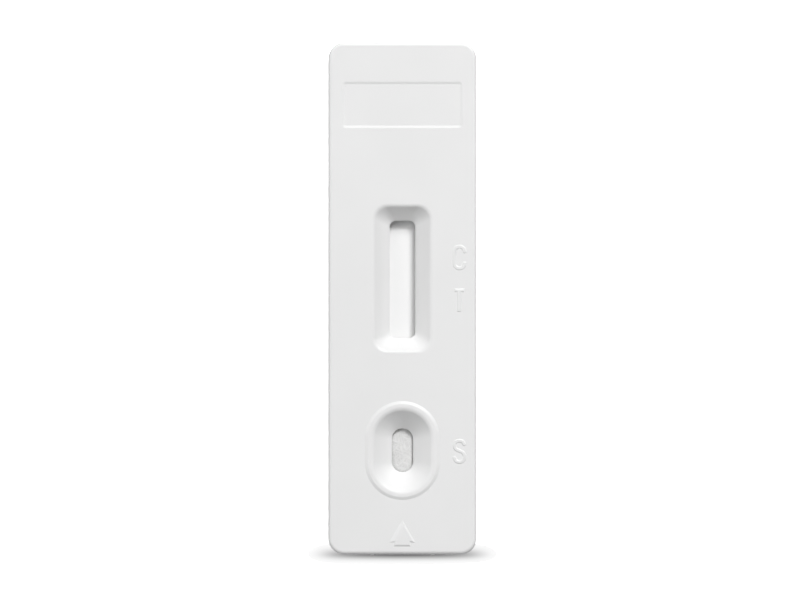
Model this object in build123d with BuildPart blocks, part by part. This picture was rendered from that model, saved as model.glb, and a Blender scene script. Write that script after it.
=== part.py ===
from build123d import *
import os

# A lateral flow test cassette: two moulded halves pressed together round a test strip.
# Millimetres. X is the width, Y the length with the label panel at its far end, Z the thickness.
# The origin is the middle of the underside.

# Outer form of the closed cassette
cassette_width = 20.3
cassette_length = 70.0
cassette_thickness = 5.0
corner_radius = 2.2
parting_height = 2.4
draft_angle = 1.5
top_edge_round = 0.75
bottom_edge_round = 0.45
parting_bevel = 0.08

# Walls of the two mouldings
side_wall = 1.2
top_plate = 1.0
bottom_floor = 1.0
tight_corner = 0.3

# Lip: a tongue on the base inside a step in the cover
tongue_height = 0.8
tongue_wall = 0.55
lip_clearance = 0.05

# Test strip, with the room left at each end of the cassette.
# The sample pad's ramp has its room beyond the well's wall, and the pad laps this share of the
# conjugate pad's free length.
strip_width = 4.0
strip_end_room = 5.0
card_thickness = 0.25
membrane_thickness = 0.2
membrane_reach = 4.5
pad_overlap = 2.0
pad_ramp = 0.5
ramp_room = 1.35
sample_lap_share = 0.42
conjugate_thickness = 0.4
sample_thickness = 0.75
absorbent_thickness = 0.85

# Label panel, a shallow recess with sloped edges
panel_side_margin = 1.95
panel_end_margin = 5.44
panel_length = 6.32
panel_radius = 0.5
panel_depth = 0.13
panel_slope_angle = 68.0

# Result window, a bevelled recess down to a slot over the membrane.
# It lies between the well and the panel and takes this share of the free length before it.
window_length = 19.85
window_side_slope = 2.12
window_end_slope = 1.95
window_radius = 1.7
window_edge_round = 0.85
window_gap_share = 0.3875
slot_cover = 0.24
slot_radius = 0.75
slot_throat = 0.6
slot_air_gap = 0.65

# Sample well, a rimmed funnel down to an opening that bears on the sample pad
well_end_margin = 7.5
well_rim_width = 10.24
well_rim_length = 13.48
well_rim_height = 0.22
well_rim_flank_angle = 61.0
well_rim_round = 0.45
well_rim_band = 1.07
well_mouth_round = 1.1
well_cover = 0.53
well_opening_length = 5.98
well_throat = 0.5

# Wall of the window and well funnels under the top plate, measured along the face
funnel_wall = 1.3

# Ribs, rails and stops that hold the strip in the base
rib_pitch = 3.0
rib_height = 0.45
rib_thickness = 0.7
spine_spacing = 2.4
spine_width = 0.6
rail_thickness = 0.8
rail_clearance = 0.1
rail_rise = 0.85
rail_lead = 0.25
rail_gap = 7.0
rail_rows = 3

# Round pins in the cover and bosses with six-sided sockets in the base, two to a row
pin_rows = 3
pin_diameter = 1.7
pin_clearance = 0.05
pin_tip_gap = 0.15
collar_step = 0.55
collar_gap = 0.1
boss_wall = 0.7
boss_side_gap = 0.5
boss_end_gap = 1.2
socket_sides = 6
socket_depth = 1.3
socket_lead = 0.2
socket_lead_angle = 45.0
web_thickness = 0.6

# Stubs left by the moulding gates on the near end of the cover
gate_spacing = 8.3
gate_width = 0.45
gate_height = 0.5
gate_stub = 0.12

# Press bars in the cover, which hold the pads down on the strip
bar_side_gap = 0.2
bar_thickness = 0.8

# One overrun serves every cut that passes out of the material
overrun = 1.0

# Corners and walls of the two mouldings
top = cassette_thickness
ceiling = top - top_plate
inner_corner = max(corner_radius - side_wall, tight_corner)
tongue_corner = inner_corner + tongue_wall
wall_middle = cassette_width - side_wall

# Heights through the strip
card_height = bottom_floor + rib_height
card_top = card_height + card_thickness
membrane_top = card_top + membrane_thickness
sample_top = card_top + sample_thickness
rail_top = card_height + rail_rise
slot_bottom = membrane_top + slot_air_gap

# Plan of the panel, the well and the window, from the two ends of the cassette inwards
panel_width = cassette_width - 2 * panel_side_margin
panel_center = cassette_length / 2 - panel_end_margin - panel_length / 2
panel_near = panel_center - panel_length / 2
well_center = -cassette_length / 2 + well_end_margin + well_rim_length / 2
well_far = well_center + well_rim_length / 2
well_mouth_width = well_rim_width - 2 * well_rim_band
well_mouth_length = well_rim_length - 2 * well_rim_band
well_opening_width = strip_width - 2 * well_cover
slot_width = strip_width - 2 * slot_cover
slot_length = window_length - 2 * window_end_slope
window_width = slot_width + 2 * window_side_slope
window_free = panel_near - well_far - window_length
window_center = well_far + window_free * window_gap_share + window_length / 2

# Places along the strip
card_length = cassette_length - 2 * strip_end_room
card_start = -card_length / 2
card_end = card_length / 2
membrane_length = slot_length + 2 * membrane_reach
membrane_start = window_center - membrane_length / 2
membrane_end = window_center + membrane_length / 2
conjugate_start = well_center + well_opening_length / 2 + funnel_wall + ramp_room + pad_ramp
conjugate_end = membrane_start + pad_overlap
sample_end = conjugate_start + (membrane_start - conjugate_start) * sample_lap_share
absorbent_start = membrane_end - pad_overlap
bar_width = strip_width - 2 * bar_side_gap

# Plan of the rails, the stops and the pins
channel_width = strip_width + 2 * rail_clearance
rail_offset = (channel_width + rail_thickness) / 2
rail_pitch = card_length / rail_rows
rail_length = rail_pitch - rail_gap
stop_offset = card_end + rail_clearance + rail_thickness / 2
stop_width = channel_width + 2 * rail_thickness
collar_diameter = pin_diameter + 2 * collar_step
socket_width = pin_diameter + 2 * pin_clearance
boss_diameter = socket_width + 2 * boss_wall
pin_spacing = cassette_width - 2 * (side_wall + boss_side_gap) - boss_diameter
pin_pitch = (cassette_length - 2 * (side_wall + boss_end_gap) - boss_diameter) / (pin_rows - 1)


def rounded_plan(inset, radius):
    """The plan of the cassette, moved in from its edge."""
    RectangleRounded(cassette_width - 2 * inset, cassette_length - 2 * inset, radius)


def ring_edges(part, height, width, length, center):
    """The closed edge of a recess that lies in one level plane, inside a given plan."""
    level = part.edges().filter_by_position(Axis.Z, height, height)
    across = level.filter_by_position(Axis.X, -width / 2, width / 2)
    return across.filter_by_position(Axis.Y, center - length / 2, center + length / 2)


def window_form(grow, bottom):
    """The window recess and its slot as a solid, grown sideways by a wall."""
    with BuildPart() as form:
        with BuildSketch(Plane((0, window_center, top))):
            RectangleRounded(window_width + 2 * grow, window_length + 2 * grow, window_radius + grow)
        with BuildSketch(Plane((0, window_center, slot_bottom + slot_throat))):
            RectangleRounded(slot_width + 2 * grow, slot_length + 2 * grow, slot_radius + grow)
        loft()
        with BuildSketch(Plane((0, window_center, bottom))):
            RectangleRounded(slot_width + 2 * grow, slot_length + 2 * grow, slot_radius + grow)
        extrude(amount=slot_bottom + slot_throat - bottom)
    return form.part


def well_form(grow, bottom):
    """The well funnel and its opening as a solid, grown sideways by a wall."""
    with BuildPart() as form:
        with BuildSketch(Plane((0, well_center, top + well_rim_height))):
            SlotOverall(well_mouth_length + 2 * grow, well_mouth_width + 2 * grow, rotation=90)
        with BuildSketch(Plane((0, well_center, sample_top + well_throat))):
            SlotOverall(well_opening_length + 2 * grow, well_opening_width + 2 * grow, rotation=90)
        loft()
        with BuildSketch(Plane((0, well_center, bottom))):
            SlotOverall(well_opening_length + 2 * grow, well_opening_width + 2 * grow, rotation=90)
        extrude(amount=sample_top + well_throat - bottom)
    return form.part


def below_face(form):
    """The part of a funnel's wall that lies under the top face."""
    with BuildPart() as lower:
        add(form)
        split(bisect_by=Plane.XY.offset(ceiling + top_plate / 2), keep=Keep.BOTTOM)
    return lower.part


# Cover: the upper moulding
window_wall = below_face(window_form(funnel_wall, slot_bottom))
window_hollow = window_form(0, slot_bottom - overrun)
well_wall = below_face(well_form(funnel_wall, sample_top))
well_hollow = well_form(0, sample_top - overrun)

with BuildPart() as top_cover:
    # drafted outer body with a rounded upper edge
    with BuildSketch(Plane.XY.offset(parting_height)):
        rounded_plan(0, corner_radius)
    extrude(amount=top - parting_height, taper=draft_angle)
    fillet(top_cover.faces().sort_by(Axis.Z)[-1].edges(), radius=top_edge_round)
    chamfer(top_cover.faces().sort_by(Axis.Z)[0].edges(), length=parting_bevel)
    # hollow inside, with a step for the base's tongue
    with BuildSketch(Plane.XY.offset(parting_height)):
        rounded_plan(side_wall, inner_corner)
    extrude(amount=ceiling - parting_height, mode=Mode.SUBTRACT)
    with BuildSketch(Plane.XY.offset(parting_height)):
        rounded_plan(side_wall - tongue_wall - lip_clearance, tongue_corner + lip_clearance)
    extrude(amount=tongue_height + lip_clearance, mode=Mode.SUBTRACT)
    # rim of the well, standing on the face with a sloped flank
    with BuildSketch(Plane((0, well_center, top))):
        SlotOverall(well_rim_length, well_rim_width, rotation=90)
    extrude(amount=well_rim_height, taper=well_rim_flank_angle)
    fillet(top_cover.faces().sort_by(Axis.Z)[-1].edges(), radius=well_rim_round)
    # window and well, each with its wall under the top plate
    add(window_wall)
    add(well_wall)
    add(window_hollow, mode=Mode.SUBTRACT)
    add(well_hollow, mode=Mode.SUBTRACT)
    fillet(ring_edges(top_cover, top, window_width, window_length, window_center), radius=window_edge_round)
    mouth = ring_edges(top_cover, top + well_rim_height, well_mouth_width, well_mouth_length, well_center)
    fillet(mouth, radius=well_mouth_round)
    # label panel
    with BuildSketch(Plane((0, panel_center, top))):
        RectangleRounded(panel_width, panel_length, panel_radius)
    extrude(amount=-panel_depth, taper=panel_slope_angle, mode=Mode.SUBTRACT)
    # pins, with collars that stop just short of the bosses
    with BuildSketch(Plane.XY.offset(ceiling)):
        with GridLocations(pin_spacing, pin_pitch, 2, pin_rows):
            Circle(collar_diameter / 2)
    extrude(amount=parting_height + collar_gap - ceiling)
    with BuildSketch(Plane.XY.offset(ceiling)):
        with GridLocations(pin_spacing, pin_pitch, 2, pin_rows):
            Circle(pin_diameter / 2)
    extrude(amount=parting_height - socket_depth + pin_tip_gap - ceiling)
    # bars that press the conjugate pad and the absorbent pad on the membrane
    for bar_center, pad_top in (
        (conjugate_end - pad_overlap / 2, membrane_top + conjugate_thickness),
        (absorbent_start + pad_overlap / 2, membrane_top + absorbent_thickness),
        ((absorbent_start + card_end) / 2, card_top + absorbent_thickness),
    ):
        with BuildSketch(Plane((0, bar_center, pad_top))):
            Rectangle(bar_width, bar_thickness)
        extrude(amount=ceiling - pad_top)
    # gate stubs on the near end, just above the parting plane
    with BuildSketch(Plane((0, -cassette_length / 2, parting_height + parting_bevel))):
        with GridLocations(gate_spacing, 0, 2, 1):
            Rectangle(gate_width, 2 * gate_stub)
    extrude(amount=gate_height)
top_cover.part.label = "top_cover"

# Base: the lower moulding
with BuildPart() as base_shell:
    # drafted outer body with a rounded lower edge
    with BuildSketch(Plane.XY.offset(parting_height)):
        rounded_plan(0, corner_radius)
    extrude(amount=-parting_height, taper=draft_angle)
    fillet(base_shell.faces().sort_by(Axis.Z)[0].edges(), radius=bottom_edge_round)
    chamfer(base_shell.faces().sort_by(Axis.Z)[-1].edges(), length=parting_bevel)
    # tongue that enters the cover, and the hollow inside it
    with BuildSketch(Plane.XY.offset(parting_height)):
        rounded_plan(side_wall - tongue_wall, tongue_corner)
    extrude(amount=tongue_height)
    with BuildSketch(Plane.XY.offset(bottom_floor)):
        rounded_plan(side_wall, inner_corner)
    extrude(amount=parting_height + tongue_height - bottom_floor, mode=Mode.SUBTRACT)
    # cross ribs and two spines that carry the card
    with BuildSketch(Plane.XY.offset(bottom_floor)):
        with GridLocations(0, rib_pitch, 1, int(card_length / rib_pitch)):
            Rectangle(channel_width, rib_thickness)
        with GridLocations(spine_spacing, 0, 2, 1):
            Rectangle(spine_width, card_length)
    extrude(amount=card_height - bottom_floor)
    # rails beside the strip and a stop at each end of it
    with BuildSketch(Plane.XY.offset(bottom_floor)):
        with GridLocations(2 * rail_offset, rail_pitch, 2, rail_rows):
            Rectangle(rail_thickness, rail_length)
        with GridLocations(0, 2 * stop_offset, 1, 2):
            Rectangle(stop_width, rail_thickness)
    extrude(amount=rail_top - bottom_floor)
    rail_edges = base_shell.edges().filter_by(Axis.Y).filter_by_position(Axis.Z, rail_top, rail_top)
    chamfer(
        rail_edges.filter_by_position(Axis.X, -channel_width / 2, channel_width / 2),
        length=rail_lead,
    )
    # bosses with sockets for the pins, tied to the side walls by webs
    with BuildSketch(Plane.XY.offset(bottom_floor)):
        with GridLocations(pin_spacing, pin_pitch, 2, pin_rows):
            Circle(boss_diameter / 2)
        with GridLocations((pin_spacing + wall_middle) / 2, pin_pitch, 2, pin_rows):
            Rectangle((wall_middle - pin_spacing) / 2, web_thickness)
    extrude(amount=parting_height - bottom_floor)
    with BuildSketch(Plane.XY.offset(parting_height)):
        with GridLocations(pin_spacing, pin_pitch, 2, pin_rows):
            RegularPolygon(socket_width / 2, socket_sides, major_radius=False)
    extrude(amount=-socket_depth, mode=Mode.SUBTRACT)
    with BuildSketch(Plane.XY.offset(parting_height)):
        with GridLocations(pin_spacing, pin_pitch, 2, pin_rows):
            RegularPolygon(socket_width / 2 + socket_lead, socket_sides, major_radius=False)
    extrude(amount=-socket_lead, taper=socket_lead_angle, mode=Mode.SUBTRACT)
base_shell.part.label = "base_shell"

# Strip: a card that carries the membrane and the three pads
with BuildPart() as backing_card:
    with BuildSketch(Plane.XY.offset(card_height)):
        Rectangle(strip_width, card_length)
    extrude(amount=card_thickness)
backing_card.part.label = "backing_card"

with BuildPart() as membrane:
    with BuildSketch(Plane((0, window_center, card_top))):
        Rectangle(strip_width, membrane_length)
    extrude(amount=membrane_thickness)
membrane.part.label = "membrane"


def stepped_pad(free_end, step, lap_end, thickness, rise):
    """A pad of even thickness that lies on the card and climbs over the end of the piece beside it.

    Its profile in the YZ plane runs level from the free end, up a short ramp, and level to the lap end.
    """
    ramp_foot = step - pad_ramp if lap_end > free_end else step + pad_ramp
    with BuildPart() as pad:
        with BuildSketch(Plane.YZ):
            with BuildLine():
                Polyline(
                    (free_end, card_top),
                    (ramp_foot, card_top),
                    (step, card_top + rise),
                    (lap_end, card_top + rise),
                    (lap_end, card_top + rise + thickness),
                    (step, card_top + rise + thickness),
                    (ramp_foot, card_top + thickness),
                    (free_end, card_top + thickness),
                    close=True,
                )
            make_face()
        extrude(amount=strip_width / 2, both=True)
    return pad.part


conjugate_pad = stepped_pad(
    conjugate_start, membrane_start, conjugate_end, conjugate_thickness, membrane_thickness
)
conjugate_pad.label = "conjugate_pad"
sample_pad = stepped_pad(
    card_start, conjugate_start, sample_end, sample_thickness, conjugate_thickness
)
sample_pad.label = "sample_pad"
absorbent_pad = stepped_pad(
    card_end, membrane_end, absorbent_start, absorbent_thickness, membrane_thickness
)
absorbent_pad.label = "absorbent_pad"

os.makedirs("parts", exist_ok=True)
export_step(top_cover.part, "parts/top_cover.step")
export_step(base_shell.part, "parts/base_shell.step")
export_step(backing_card.part, "parts/backing_card.step")
export_step(membrane.part, "parts/membrane.step")
export_step(conjugate_pad, "parts/conjugate_pad.step")
export_step(sample_pad, "parts/sample_pad.step")
export_step(absorbent_pad, "parts/absorbent_pad.step")
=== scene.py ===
import functools
import math

import bpy
import numpy as np
from mathutils.geometry import delaunay_2d_cdt
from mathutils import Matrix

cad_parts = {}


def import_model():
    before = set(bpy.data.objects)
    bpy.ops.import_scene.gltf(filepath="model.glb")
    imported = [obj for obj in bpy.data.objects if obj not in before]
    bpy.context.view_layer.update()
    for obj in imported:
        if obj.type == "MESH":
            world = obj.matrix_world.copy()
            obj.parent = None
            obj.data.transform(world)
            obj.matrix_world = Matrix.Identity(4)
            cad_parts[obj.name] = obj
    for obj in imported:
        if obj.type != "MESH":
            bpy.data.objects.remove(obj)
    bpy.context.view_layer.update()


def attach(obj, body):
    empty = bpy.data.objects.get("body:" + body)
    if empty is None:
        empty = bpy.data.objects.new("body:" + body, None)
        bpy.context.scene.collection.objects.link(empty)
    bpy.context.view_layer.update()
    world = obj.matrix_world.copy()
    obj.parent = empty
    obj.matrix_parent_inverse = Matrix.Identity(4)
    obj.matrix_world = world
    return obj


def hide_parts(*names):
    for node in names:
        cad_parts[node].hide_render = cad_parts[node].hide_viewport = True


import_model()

# A lateral flow test cassette. Its two mouldings and the five sheets of its strip are one closed
# mesh each. X is the width, Y the length with the label panel at its far end, Z the thickness.
# Lengths are millimetres unless a comment says otherwise, and a mesh gets metres when it is made.
MM = 0.001

# Two values closer than this are the same
SAME = 1e-6

# Outer form: drafted sides above and below the parting plane, with rounded edges. The upper
# edge's round is smaller than the CAD's, as the photograph shows it.
WIDTH = 20.3
LENGTH = 70.0
FACE = 5.0
PARTING = 2.4
CORNER = 2.2
DRAFT = math.tan(math.radians(1.5))
TOP_ROUND = 0.5
BOTTOM_ROUND = 0.45
BEVEL, BEVEL_ROUND = 0.08, 0.03

# Inside: walls, the cover's ceiling, the base's floor, and the base's tongue in the cover's step
WALL = 1.2
INNER_CORNER = 1.0
CEILING = 4.0
INNER_FLOOR = 1.0
TONGUE_WALL = 0.55
TONGUE_HEIGHT = 0.8
TONGUE_EDGE = 0.06
STEP_GAP = 0.05

# Strip: the heights of its layers, how thick its pads are and how they lap, and each sheet's ends
STRIP_HALF = 2.0
CARD_BOTTOM, CARD_TOP = 1.45, 1.7
MEMBRANE_TOP = 1.9
CONJUGATE_THICK = 0.4
SAMPLE_THICK = 0.75
ABSORBENT_THICK = 0.85
OVERLAP = 2.0
RAMP = 0.5
CARD_ENDS = (-30.0, 30.0)
MEMBRANE_ENDS = (-9.824, 15.126)
CONJUGATE_ENDS = (-14.62, MEMBRANE_ENDS[0] + OVERLAP)
SAMPLE_ENDS = (CARD_ENDS[0], -12.606)
ABSORBENT_ENDS = (MEMBRANE_ENDS[1] - OVERLAP, CARD_ENDS[1])

# Window: a slot over the membrane and a slightly dished slope up to the face, narrower at the
# ends by a share. Its corners and its middle change on the way up, and level rows border it.
SLOT_Y, WINDOW_Y = 2.591, 2.711
SLOT_HALF, SLOT_HALF_LENGTH = 1.76, 8.035
SLOT_CORNER, CORNER_GAIN = 0.9, 1.0
SLOT_LEVELS = (2.55, 3.15)
SLOT_ROUND, SLOT_FOOT_ROUND = 0.05, 0.04
WINDOW_SLOPE, WINDOW_END_SHARE = 2.12, 0.892
WINDOW_ROUND = 0.8
WINDOW_DISH, DISH_ROUND = 0.05, 16.0
WINDOW_BORDERS = (0.5, 0.4)

# Well: an opening over the sample pad, a funnel up to its mouth, and a rim on the face. The
# gain is how much longer half the funnel gets for each millimetre that it widens.
OPENING_Y, WELL_Y = -20.78, -20.76
OPENING_HALF, OPENING_HALF_LENGTH = 1.47, 3.0
WELL_LEVELS = (2.45, 2.95)
OPENING_ROUND, OPENING_FOOT_ROUND = 0.08, 0.05
MOUTH_HALF, MOUTH_HALF_LENGTH = 4.05, 5.64
MOUTH_ROUND = 1.0
MOUTH_SLOPE = MOUTH_HALF - OPENING_HALF
MOUTH_GAIN = (MOUTH_HALF_LENGTH - OPENING_HALF_LENGTH) / MOUTH_SLOPE
MOUTH_BORDER = 0.4
RIM_TOP = 5.15
RIM_HALF, RIM_HALF_LENGTH = 5.12, 6.74
RIM_FLANK, RIM_CREST, RIM_BORDER = 0.4, 0.16, 0.2
RIM_ROUND, RIM_FOOT_ROUND = 0.45, 0.12

# Wall of the funnels under the plate, and the band of its level foot next to the opening
FUNNEL_WALL = 1.3
SILL = 0.4

# Label panel: a shallow recess with sloped sides
PANEL_Y = 26.4
PANEL_HALF, PANEL_HALF_LENGTH = 8.2, 3.16
PANEL_CORNER = 0.5
PANEL_DEPTH, PANEL_SLOPE = 0.09, 0.34
PANEL_ROUND, PANEL_BORDER = 0.25, 0.1

# Stubs that the moulding gates left on the near end
GATE_X = 4.15
GATE_HALF = 0.225
GATE_STUB = 0.11
GATE_LEVELS = (2.53, 2.98)
GATE_EDGE = 0.03

# Cover's pins with their collars, and its bars over the strip: the middle and foot of each bar
PINS = [(x, y) for x in (-6.85, 6.85) for y in (-31.0, 0.0, 31.0)]
PIN_RADIUS = 0.85
PIN_TIP, PIN_LEAD = 1.25, 0.1
COLLAR_RADIUS = 1.4
COLLAR_FOOT, COLLAR_EDGE = 2.5, 0.04
BARS = (
    (CONJUGATE_ENDS[1] - OVERLAP / 2, MEMBRANE_TOP + CONJUGATE_THICK),
    (ABSORBENT_ENDS[0] + OVERLAP / 2, MEMBRANE_TOP + ABSORBENT_THICK),
    (sum(ABSORBENT_ENDS) / 2, CARD_TOP + ABSORBENT_THICK),
)
BAR_HALF, BAR_HALF_THICK = 1.8, 0.4
BAR_CORNER, BAR_EDGE = 0.12, 0.06

# Base's ribs and spines under the card, its rails beside the strip, and a stop at each end
CHANNEL_HALF = 2.1
RIB_COUNT, RIB_PITCH, RIB_HALF_THICK = 20, 3.0, 0.35
SPINE_X, SPINE_HALF = 1.2, 0.3
RAIL_X, RAIL_PITCH = 2.5, 20.0
RAIL_HALF, RAIL_HALF_LENGTH, RAIL_TOP = 0.4, 6.5, 2.3
STOP_Y, STOP_HALF = 30.5, 2.9

# Base's bosses with six-sided sockets for the pins, and their webs to the walls
BOSS_RADIUS = 1.6
SOCKET_RADIUS, SOCKET_FLOOR = 1.04, 1.1
WEB_HALF, WEB_HALF_THICK = 1.05, 0.3

# Steps of a quarter turn in the plan, of a bend in a profile, of a round pin and of a curve
CORNER_STEPS, STADIUM_STEPS, PANEL_CORNER_STEPS, BAR_CORNER_STEPS = 16, 36, 8, 4
BEND_STEPS, FUNNEL_STEPS, PANEL_STEPS = 10, 14, 4
PIN_SIDES, BOSS_SIDES, SOCKET_SIDES = 48, 36, 6
CURVE_STEPS, ARC_STEPS = 10, 22

# Narrow level strip beside a rounding, which keeps the shading of the flat beyond it even
SUPPORT = 0.04

# Degrees above which an edge is drawn crisp
CREASE = 30.0


def put_in_scene(name, data):
    """Makes an object of a mesh, lamp or camera."""
    made = bpy.data.objects.new(name, data)
    bpy.context.scene.collection.objects.link(made)
    return made


class Surface:
    """Points and faces of one piece, gathered in millimetres, then welded into one mesh."""

    def __init__(self):
        self.points, self.faces, self.count = [], [], 0

    def put(self, points, *faces):
        """Adds an array of points, and arrays of faces that count from the first of them."""
        self.points.append(points)
        self.faces += [part + self.count for part in faces if len(part)]
        self.count += len(points)

    def piece(self, name, material, slot, *nodes):
        """Makes the piece: equal points become one, flat edges are smooth and sharp ones crisp."""
        keys = np.round(np.concatenate(self.points), 5) + 0.0
        keys, inverse = np.unique(keys, axis=0, return_inverse=True)
        inverse = inverse.ravel()
        polygons = []
        for part in self.faces:
            corners = inverse[part]
            whole = np.all(corners != np.roll(corners, 1, axis=1), axis=1)
            polygons += corners[whole].tolist()
        mesh = bpy.data.meshes.new(name)
        mesh.from_pydata((keys * MM).tolist(), [], polygons)
        mesh.validate()
        mesh.polygons.foreach_set("use_smooth", np.ones(len(mesh.polygons), bool))
        mesh.set_sharp_from_angle(angle=math.radians(CREASE))
        mesh.materials.append(material)
        made = put_in_scene(name, mesh)
        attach(made, "root")
        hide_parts(*nodes)


def quads(rows, columns, closed=False):
    """Quads of a grid kept row by row. A closed grid joins its last column to its first."""
    across = columns if closed else columns - 1
    row, column = np.meshgrid(np.arange(rows - 1), np.arange(across), indexing="ij")
    following = (column + 1) % columns
    low, high = row * columns, (row + 1) * columns
    corners = [low + column, low + following, high + following, high + column]
    return np.stack(corners, axis=-1).reshape(-1, 4)


def grid_edge(grid):
    """The points round a grid's edge, anticlockwise where rows run to +X and follow to +Y."""
    return np.concatenate([grid[0, :-1], grid[:-1, -1], grid[-1, :0:-1], grid[:0:-1, 0]])


def rounded_rectangle(half_x, half_y, radius, center_y, steps, stops=()):
    """Four quarter circles of the radius joined by straight sides, anticlockwise from +X.

    stops are extra places along the side at -Y, from -X to +X. A shape whose radius is its half
    width is a stadium, whose quarter circles meet in one point.
    """
    turn = np.linspace(0.0, math.pi / 2, steps + 1)
    inner_x, inner_y = half_x - radius, half_y - radius
    parts = []
    for quarter, (side_x, side_y) in enumerate(((1, 1), (-1, 1), (-1, -1), (1, -1))):
        angle = turn + quarter * math.pi / 2
        xs = side_x * inner_x + radius * np.cos(angle)
        ys = side_y * inner_y + radius * np.sin(angle)
        arc = np.stack([xs, ys], 1)
        joined = quarter in (1, 3) and inner_x < SAME
        parts.append(arc[1:] if joined else arc)
        if quarter == 2 and len(stops):
            parts.append(np.stack([np.array(stops), np.full(len(stops), -half_y)], 1))
    ring = np.concatenate(parts)
    ring[:, 1] += center_y
    return ring


def rounded_profile(corners, steps):
    """Rows of offset, height and radius become a line whose corners are arcs.

    An arc leaves each side of its corner at the radius times the tangent of half the turn, and
    its points are that start plus radius times (sine along, one less cosine across).
    """
    points = np.array([row[:2] for row in corners], float)
    line = [points[0]]
    for before, here, after, (_, _, radius) in zip(points, points[1:], points[2:], corners[1:]):
        if radius == 0.0:
            line.append(here)
            continue
        ahead = (here - before) / np.linalg.norm(here - before)
        beyond = (after - here) / np.linalg.norm(after - here)
        turn = math.atan2(ahead[0] * beyond[1] - ahead[1] * beyond[0], ahead @ beyond)
        start = here - ahead * radius * math.tan(abs(turn) / 2)
        across = np.array([-ahead[1], ahead[0]]) * math.copysign(1.0, turn)
        angle = np.linspace(0.0, abs(turn), steps + 1)[:, None]
        line += list(start + radius * (np.sin(angle) * ahead + (1.0 - np.cos(angle)) * across))
    line.append(points[-1])
    return np.array(line)


def level(ring, height):
    """A ring of plan points at one height."""
    return np.column_stack([ring, np.full(len(ring), height)])


def join(surface, rings):
    """Faces between each closed ring and the next, all with as many points."""
    rings = np.stack(rings)
    surface.put(rings.reshape(-1, 3), quads(len(rings), rings.shape[1], closed=True))


def sweep(surface, profile, plan):
    """Carries a profile round a plan, and returns the first and the last ring's plan.

    Each point of the profile is an offset, which picks the ring, and a height. A profile that
    runs up the outside, inwards over the top and down inside faces outwards.
    """
    rings = [level(plan(offset), height) for offset, height in profile]
    join(surface, rings)
    return rings[0][:, :2], rings[-1][:, :2]


def inside(points, ring):
    """Even-odd test of many points against one ring, all at once."""
    x, y = points[:, 0][:, None], points[:, 1][:, None]
    x0, y0 = ring.T
    x1, y1 = np.roll(ring, -1, axis=0).T
    spans = (y0 > y) != (y1 > y)
    rise = np.where(y1 == y0, 1.0, y1 - y0)
    return np.sum(spans & (x < x0 + (y - y0) * (x1 - x0) / rise), axis=1) % 2 == 1


def triangulate(rings):
    """Delaunay triangles of all rings' points that keep every ring's runs as edges."""
    points = np.concatenate(rings)
    edges, start = [], 0
    for ring in rings:
        count = np.arange(len(ring))
        edges += np.stack([start + count, start + np.roll(count, -1)], 1).tolist()
        start += len(ring)
    found = delaunay_2d_cdt(points.tolist(), edges, [], 0, SAME, True)
    spots, triangles, origins = found[0], found[2], found[3]
    places = [points[first[0]] if first else tuple(spot) for spot, first in zip(spots, origins)]
    return np.array(places), np.array(triangles)


def fill(surface, height, outer, *holes, up=True):
    """A flat face inside the outer ring and outside the holes, looking up or down."""
    places, triangles = triangulate([outer, *holes])
    middle = places[triangles].mean(axis=1)
    kept = inside(middle, outer)
    for hole in holes:
        kept &= ~inside(middle, hole)
    triangles = triangles[kept]
    surface.put(level(places, height), triangles if up else triangles[:, ::-1])


def terraces(surface, outer, base_height, shapes):
    """Flat steps with upright walls between them, as of ribs on a floor.

    The shapes are rings with a height each, and a later one cuts into those before it. Every
    triangle of the plan takes its height, and an edge between two heights gets a wall, divided
    at each height that is used, so that all walls meet in whole edges.
    """
    places, triangles = triangulate([outer] + [ring for ring, _ in shapes])
    middle = places[triangles].mean(axis=1)
    kept = inside(middle, outer)
    heights = np.full(len(triangles), base_height)
    for ring, height in shapes:
        heights[inside(middle, ring)] = height
    triangles, heights = triangles[kept], heights[kept]
    steps = np.unique(heights)
    rank = np.searchsorted(steps, heights)
    total = len(places)
    points = np.concatenate([level(places, step) for step in steps])
    tops = triangles + rank[:, None] * total
    starts = np.concatenate([triangles[:, k] for k in range(3)])
    ends = np.concatenate([triangles[:, (k + 1) % 3] for k in range(3)])
    ranks = np.tile(rank, 3)
    sides_of = list(zip(starts.tolist(), ends.tolist(), ranks.tolist()))
    forward = {(a, b): r for a, b, r in sides_of}
    lower = np.array([forward.get((b, a), r) for a, b, r in sides_of])
    walls = []
    for k in range(len(steps) - 1):
        tall = (lower <= k) & (ranks > k)
        low = np.stack([starts[tall], ends[tall]], 1) + k * total
        walls.append(np.hstack([low, low[:, ::-1] + total]))
    surface.put(points, tops, np.concatenate(walls))


def circle(center, radius, count):
    """Points at equal turns round a centre."""
    angle = np.arange(count) * 2 * math.pi / count
    return np.stack([center[0] + radius * np.cos(angle), center[1] + radius * np.sin(angle)], 1)


def rectangle(center, half_x, half_y):
    """The four corners of an upright rectangle, anticlockwise."""
    signs = np.array([(-1, -1), (1, -1), (1, 1), (-1, 1)], float)
    return np.array(center) + signs * (half_x, half_y)


# Raised marks ---------------------------------------------------------

# Half the width of a letter's stroke, and pitch and margin of the grid that carries a mark
STROKE_HALF = 0.25
MARK_PITCH, MARK_MARGIN = 0.03, 0.1


def smooth_path(knots):
    """A Catmull-Rom line: cubics through the knots, sloped as the knots on either side lie."""
    knots = np.array(knots, float)
    padded = np.vstack([2 * knots[0] - knots[1], knots, 2 * knots[-1] - knots[-2]])
    t = np.linspace(0.0, 1.0, CURVE_STEPS, endpoint=False)[:, None]
    runs = []
    for a, b, c, d in zip(padded, padded[1:], padded[2:], padded[3:]):
        square, cube = 2 * a - 5 * b + 4 * c - d, 3 * b - a - 3 * c + d
        runs.append(0.5 * (2 * b + (c - a) * t + square * t**2 + cube * t**3))
    return np.vstack([*runs, knots[-1:]])


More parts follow.
